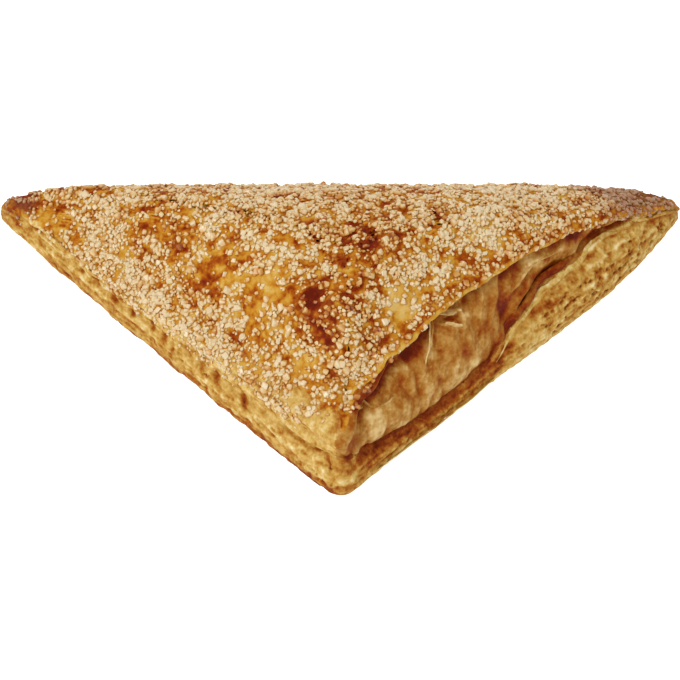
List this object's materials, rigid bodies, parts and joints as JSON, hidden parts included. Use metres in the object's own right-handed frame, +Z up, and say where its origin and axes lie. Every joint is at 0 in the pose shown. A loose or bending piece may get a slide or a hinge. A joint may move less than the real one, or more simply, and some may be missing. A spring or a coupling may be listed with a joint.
{
  "type": "turnover pastry",
  "caption": "Triangular puff pastry turnover with a rounded folded back, one shut and one gaping layered edge, and a coarse sugar crust on top.",
  "frame": {"origin": "under the middle of the pastry's box, on the plane it rests on", "axes": "+X along the folded edge, +Y from the square corner towards the folded edge, +Z up"},
  "size_m": [0.1692, 0.085, 0.0356],
  "materials": {
    "crust": "baked, flaky and sugared"
  },
  "bodies": {
    "root": {"turnover": "crust"}
  },
  "joints": []
}
